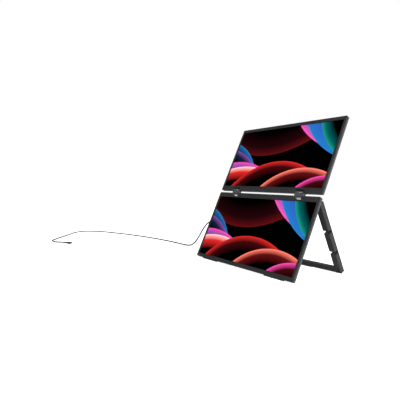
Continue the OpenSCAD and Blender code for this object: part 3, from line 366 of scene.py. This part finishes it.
class Shader:
    """A material's node tree, with one Principled shader and short ways to add nodes."""

    def __init__(self, name):
        self.material = bpy.data.materials.new(name)
        self.material.use_nodes = True
        self.tree = self.material.node_tree
        self.surface = self.tree.nodes["Principled BSDF"]

    def put(self, socket, value):
        if isinstance(value, bpy.types.NodeSocket):
            self.tree.links.new(value, socket)
        else:
            socket.default_value = value

    def fill(self, node, inputs):
        for name, value in inputs.items():
            self.put(node.inputs[name.replace("_", " ")], value)

    def add(self, kind, **inputs):
        node = self.tree.nodes.new(kind)
        self.fill(node, inputs)
        return node

    def set(self, **inputs):
        self.fill(self.surface, inputs)

    def place(self):
        return self.add("ShaderNodeTexCoord").outputs["Object"]

    def depth(self):
        """How far back a point lies, square to the screens."""
        return self.vector("DOT_PRODUCT", self.place(), tuple(OUT_OF_BACK))

    def noise(self, scale, detail, stretch=None, rough=0.5):
        vector = self.place()
        if stretch is not None:
            vector = self.vector("MULTIPLY", vector, stretch)
        node = self.add("ShaderNodeTexNoise", Vector=vector, Scale=scale, Detail=detail,
                        Roughness=rough)
        return node.outputs["Fac"]

    def mottle(self, scale, detail, low=0.0, high=1.0):
        """Noise that wanders between low and high."""
        return self.between(self.noise(scale, detail), NOISE_LOW, NOISE_HIGH, low, high)

    def vector(self, operation, a, b):
        node = self.tree.nodes.new("ShaderNodeVectorMath")
        node.operation = operation
        self.put(node.inputs[0], a)
        self.put(node.inputs[1], b)
        return node.outputs["Value" if operation in ("DOT_PRODUCT", "DISTANCE") else "Vector"]

    def math(self, operation, a, b=0.0):
        node = self.tree.nodes.new("ShaderNodeMath")
        node.operation = operation
        self.put(node.inputs[0], a)
        self.put(node.inputs[1], b)
        return node.outputs[0]

    def between(self, value, low, high, to_low=0.0, to_high=1.0):
        """Maps low to high onto to_low to to_high, and holds those beyond."""
        node = self.add("ShaderNodeMapRange", Value=value, From_Min=low, From_Max=high,
                        To_Min=to_low, To_Max=to_high)
        return node.outputs["Result"]

    def mix(self, share, a, b):
        """Colour a, and colour b where share is 1. The node's colour sockets go by their numbers."""
        node = self.tree.nodes.new("ShaderNodeMix")
        node.data_type = "RGBA"
        self.put(node.inputs["Factor"], share)
        self.put(node.inputs[6], opaque(a))
        self.put(node.inputs[7], opaque(b))
        return node.outputs[2]

    def shades(self, share, colour, tones):
        """A colour that goes from the first of two tones to the second."""
        return self.mix(share, *(tuple(c * tone for c in colour) for tone in tones))

    def ramp(self, value, stops):
        node = self.add("ShaderNodeValToRGB", Fac=value)
        bar = node.color_ramp
        while len(bar.elements) < len(stops):
            bar.elements.new(1.0)
        for element, (at, colour) in zip(bar.elements, stops):
            element.position = at
            element.color = opaque(colour)
        return node.outputs["Color"]

    def bump(self, height, strength, distance):
        node = self.add("ShaderNodeBump", Height=height, Strength=strength, Distance=distance)
        self.set(Normal=node.outputs["Normal"])


def opaque(colour):
    return (*colour, 1.0) if isinstance(colour, tuple) else colour


def moulded_plastic(name, colour, roughness, grain=0.5 * MM, relief=0.02 * MM):
    """Moulded plastic with a fine spark-eroded grain, slightly uneven in tone and sheen."""
    s = Shader(name)
    s.set(Base_Color=s.shades(s.mottle(scale=14, detail=4), colour, PLASTIC_TONES))
    s.set(Roughness=s.mottle(scale=60, detail=5, low=roughness - 0.05, high=roughness + 0.06))
    s.set(Specular_IOR_Level=PLASTIC_GLOSS)
    s.bump(s.noise(scale=1 / grain, detail=2), strength=0.35, distance=relief)
    return s.material


def rear_face(node):
    """How far back a piece's main rear face lies: where most area looks out of the back."""
    areas = {}
    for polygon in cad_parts[node].data.polygons:
        if polygon.normal.dot(OUT_OF_BACK) > 0.99:
            depth = round(polygon.center.dot(OUT_OF_BACK), 4)
            areas[depth] = areas.get(depth, 0) + polygon.area
    return max(areas, key=areas.get)


def cover_plastic(name, sides, back, band_end):
    """A display's rear cover: its side walls are smoother than its grained back, and painted lighter
    as painted light.
    """
    s = Shader(name)
    is_back = s.between(s.depth(), band_end - BAND_BLUR, band_end + BAND_BLUR)
    tone = s.mottle(scale=14, detail=4)
    # The side walls' lighter grey is painted light: a painted highlight for the lamps' light falling
    # on the sides
    painted_side_light = s.shades(tone, sides, COVER_SIDE_TONES)
    dark = s.shades(tone, back, PLASTIC_TONES)
    s.set(Base_Color=s.mix(is_back, painted_side_light, dark), Specular_IOR_Level=COVER_GLOSS)
    roughness = s.between(is_back, 0, 1, 0.45, 0.58)
    s.set(Roughness=s.math("ADD", s.mottle(scale=60, detail=5, low=-0.05, high=0.06), roughness))
    height = s.math("MULTIPLY", s.noise(scale=1400, detail=2), s.between(is_back, 0, 1, 0.4, 1))
    s.bump(height, strength=0.35, distance=0.03 * MM)
    return s.material


def soft_rubber(name, colour, gloss=0.3):
    """Dull rubber, paler where dust clings to it."""
    s = Shader(name)
    dust = s.between(s.noise(scale=45, detail=6, rough=0.65), 0.45, 0.75)
    s.set(Base_Color=s.shades(dust, colour, DUSTY_RUBBER_TONES), Specular_IOR_Level=gloss)
    s.set(Roughness=s.mottle(scale=300, detail=3, low=0.72, high=0.88))
    s.bump(s.noise(scale=1500, detail=2), strength=0.4, distance=0.03 * MM)
    return s.material


def metal(name, colour, roughness, stretch=(1, 1, 1)):
    """Metal with fine lines left by its finishing, along the axis that stretch multiplies least."""
    s = Shader(name)
    lines = s.noise(scale=900, detail=4, stretch=stretch)
    tone = s.between(lines, NOISE_LOW, NOISE_HIGH)
    s.set(Base_Color=s.shades(tone, colour, METAL_TONES), Metallic=1.0)
    s.set(Roughness=s.between(lines, NOISE_LOW, NOISE_HIGH, roughness - 0.06, roughness + 0.08))
    s.bump(lines, strength=0.2, distance=0.01 * MM)
    return s.material


def circuit_board(name, faces_back):
    """Solder mask, paler over its tracks. Whatever stands off the board is black."""
    s = Shader(name)
    brick = s.add("ShaderNodeTexBrick", Vector=s.place(), Scale=170.0, Mortar_Size=0.012)
    tracks = brick.outputs["Fac"]
    chips = s.mix(s.mottle(scale=400, detail=2), *CHIPS)
    stands_off = s.between(s.depth(), *(faces_back + blur for blur in BOARD_BLUR))
    s.set(Base_Color=s.mix(stands_off, s.mix(tracks, *SOLDER_MASK), chips))
    s.set(Roughness=s.mottle(scale=90, detail=3, low=0.3, high=0.45))
    s.bump(tracks, strength=0.2, distance=0.02 * MM)
    return s.material


def ribbon_film(name):
    """Amber film with copper conductors that run up the display."""
    s = Shader(name)
    wave = s.add("ShaderNodeTexWave", Vector=s.place(), Scale=420.0, Distortion=0.0)
    wave.bands_direction = "X"
    s.set(Base_Color=s.mix(s.between(wave.outputs["Fac"], 0.35, 0.6), *FILM_AND_COPPER))
    s.set(Roughness=s.mottle(scale=120, detail=3, low=0.22, high=0.34))
    return s.material


def backlight_tray(name):
    s = Shader(name)
    s.set(Base_Color=s.mix(s.mottle(scale=70, detail=4), *TRAY))
    s.set(Roughness=s.mottle(scale=200, detail=3, low=0.3, high=0.42))
    return s.material


def status_lens(name):
    s = Shader(name)
    glow = s.mix(s.mottle(scale=900, detail=2), *STATUS_GLOW)
    s.set(Base_Color=glow, Emission_Color=glow, Emission_Strength=0.25, Roughness=0.3)
    return s.material


def screen_picture(name, panel):
    """An LCD panel's picture with a black margin, under an anti-glare film."""
    low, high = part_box(panel)
    centre = (Vector(low) + Vector(high)) / 2
    half_w, half_h = PICTURE_W / PICTURE_H / 2, 0.5
    s = Shader(name)
    off = s.vector("SUBTRACT", s.place(), tuple(centre))
    across = s.math("DIVIDE", s.vector("DOT_PRODUCT", off, (1, 0, 0)), PICTURE_H)
    upward = s.math("DIVIDE", s.vector("DOT_PRODUCT", off, tuple(UP_ALONG_FACE)), PICTURE_H)
    spot = s.add("ShaderNodeCombineXYZ", X=across, Y=upward).outputs["Vector"]
    colour = BLACK
    for (x, y), radius, rim, body, reach in DISCS:
        distance = s.vector("DISTANCE", spot, (x - half_w, y - half_h, 0))
        step = tuple(RIM_SHARE * a + (1 - RIM_SHARE) * b for a, b in zip(rim, body))
        shade = s.ramp(s.between(distance, radius, 0), [
            (0, rim), (STEP_AT * reach, step), (BODY_AT * reach, body), (BLACK_AT * reach, BLACK),
        ])
        inside = s.between(distance, radius + DISC_BLUR, radius - DISC_BLUR)
        colour = s.mix(inside, colour, shade)
    lit = [
        s.between(s.math("ABSOLUTE", way), half - MARGIN, half - MARGIN + MARGIN_BLUR, 1, 0)
        for way, half in ((across, half_w), (upward, half_h))
    ]
    picture = s.mix(s.math("MULTIPLY", *lit), MARGIN_BLACK, colour)
    s.set(Base_Color=picture, Emission_Color=picture, Emission_Strength=0.2)
    s.set(Roughness=s.mottle(scale=2500, detail=2, low=0.3, high=0.38))
    s.set(Specular_IOR_Level=SCREEN_GLOSS)
    return s.material


def seen_ray(tree):
    """1 for a ray from the camera, or one mirrored in the object or passing through it, else 0."""
    path = tree.nodes.new("ShaderNodeLightPath")
    seen = path.outputs["Is Camera Ray"]
    for other in ("Is Glossy Ray", "Is Transmission Ray"):
        either = tree.nodes.new("ShaderNodeMath")
        either.operation = "MAXIMUM"
        tree.links.new(seen, either.inputs[0])
        tree.links.new(path.outputs[other], either.inputs[1])
        seen = either.outputs[0]
    return seen


def floor_finish():
    """A pale floor that looks white to the camera and keeps the object's shadow."""
    s = Shader("floor_finish")
    s.set(Base_Color=opaque(FLOOR_WHITE), Roughness=0.9, Specular_IOR_Level=0.1)
    s.set(Emission_Color=opaque(WHITE))
    s.set(Emission_Strength=s.math("MULTIPLY", seen_ray(s.tree), FLOOR_GLOW))
    return s.material


def dress(material, *nodes):
    """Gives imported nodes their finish."""
    for node in nodes:
        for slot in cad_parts[node].material_slots:
            slot.material = material


# Finishes that several parts of the object share
pin_steel = metal("pin_finish", BRIGHT_STEEL, roughness=0.28, stretch=(8, 1, 1))
screw_steel = metal("screw_finish", BLACKENED_STEEL, roughness=0.4)
rubber = soft_rubber("rubber_finish", RUBBER_BLACK)


def dress_displays():
    bezel = moulded_plastic("bezel_finish", BEZEL_GREY, roughness=0.5)
    band_end = rear_face("lower_back_cover") - GRAINED_BAND
    cover = cover_plastic("cover_finish", COVER_SIDE_PAINTED_LIGHT_GREY, COVER_BACK_GREY, band_end)
    tray = backlight_tray("backlight_finish")
    plated = metal("bracket_finish", BRIGHT_STEEL, roughness=0.35, stretch=(1, 8, 8))
    film = ribbon_film("ribbon_finish")
    for level in ("lower", "upper"):
        dress(bezel, f"{level}_bezel")
        dress(cover, f"{level}_back_cover")
        dress(screen_picture(f"{level}_picture", f"{level}_lcd_panel"), f"{level}_lcd_panel")
        dress(tray, f"{level}_backlight")
        dress(screw_steel, f"{level}_bracket_screws")
        dress(film, f"{level}_ribbon")
        dress(plated, f"{level}_hinge_bracket_left", f"{level}_hinge_bracket_right")
        dress(pin_steel, f"{level}_hinge_pin_left", f"{level}_hinge_pin_right")
    dress(film, "hinge_ribbon")
    dress(rubber, "lower_foot_left", "lower_foot_right", "upper_bumper_left", "upper_bumper_right")
    dress(status_lens("status_light_finish"), "status_light")
    housing = moulded_plastic("housing_finish", COVER_BACK_GREY, roughness=0.56,
                              grain=0.7 * MM, relief=0.03 * MM)
    dress(housing, "rear_housing")
    dress(screw_steel, "housing_screws", "stand_bracket_screws")
    for board in ("main_board", "upper_driver_board"):
        dress(circuit_board(f"{board}_finish", rear_face(board)), board)


def dress_links_and_stand():
    link = moulded_plastic("link_finish", LINK_GREY, roughness=0.42,
                           grain=0.4 * MM, relief=0.015 * MM)
    stand = moulded_plastic("stand_finish", STAND_GREY, roughness=0.5,
                            grain=0.6 * MM, relief=0.03 * MM)
    for side in ("left", "right"):
        dress(link, f"hinge_link_{side}")
        dress(stand, f"stand_leg_{side}", f"stand_bracket_{side}")
        dress(pin_steel, f"stand_pin_{side}")
    dress(stand, "stand_crossbar")
    dress(rubber, "stand_foot_strip")
    dress(screw_steel, "stand_corner_screws")
    dress(moulded_plastic("cap_finish", CAP_BLACK, roughness=0.6), "stand_screw_caps")


def dress_connectors():
    plated = metal("connector_finish", NICKEL, roughness=0.28, stretch=(1, 5, 5))
    key = moulded_plastic("button_finish", BUTTON_GREY, roughness=0.45,
                          grain=0.3 * MM, relief=0.01 * MM)
    moulding = moulded_plastic("plug_finish", PLUG_BLACK, roughness=0.48,
                               grain=0.3 * MM, relief=0.01 * MM)
    dress(plated, "usb_c_socket_high", "usb_c_socket_low", "mini_hdmi_socket")
    dress(plated, "monitor_plug_shell", "laptop_plug_shell")
    dress(key, "power_button", "menu_up_button", "menu_down_button")
    for plug in (monitor_plug, laptop_plug):
        plug.data.materials.append(moulding)
    lead_cord.data.materials.append(soft_rubber("lead_finish", JACKET_BLACK, gloss=0.05))


dress_displays()
dress_links_and_stand()
dress_connectors()


# ---------------------------------------------------------------- studio

def make_floor():
    bm = bmesh.new()
    bmesh.ops.create_grid(bm, x_segments=1, y_segments=1, size=FLOOR_HALF_SIZE)
    mesh = bpy.data.meshes.new("floor")
    bm.to_mesh(mesh)
    bm.free()
    floor = bpy.data.objects.new("floor", mesh)
    bpy.context.scene.collection.objects.link(floor)
    mesh.materials.append(floor_finish())


def make_world():
    world = bpy.data.worlds.new("studio")
    bpy.context.scene.world = world
    world.use_nodes = True
    tree = world.node_tree
    background = tree.nodes["Background"]
    strength = tree.nodes.new("ShaderNodeMapRange")
    strength.inputs["To Min"].default_value = ROOM_LIGHT
    strength.inputs["To Max"].default_value = 1.0
    tree.links.new(seen_ray(tree), strength.inputs["Value"])
    tree.links.new(strength.outputs["Result"], background.inputs["Strength"])
    background.inputs["Color"].default_value = opaque(WHITE)


def make_lamp(name, at, size, power):
    data = bpy.data.lights.new(name, "AREA")
    data.shape = "RECTANGLE"
    data.size, data.size_y = size
    data.energy = power
    lamp = bpy.data.objects.new(name, data)
    bpy.context.scene.collection.objects.link(lamp)
    lamp.location = at
    lamp.rotation_euler = (LAMPS_AIM - Vector(at)).to_track_quat("-Z", "Y").to_euler()


make_floor()
make_world()
for lamp in LAMPS:
    make_lamp(*lamp)

bpy.context.scene.view_settings.view_transform = "Standard"

bpy.context.view_layer.update()
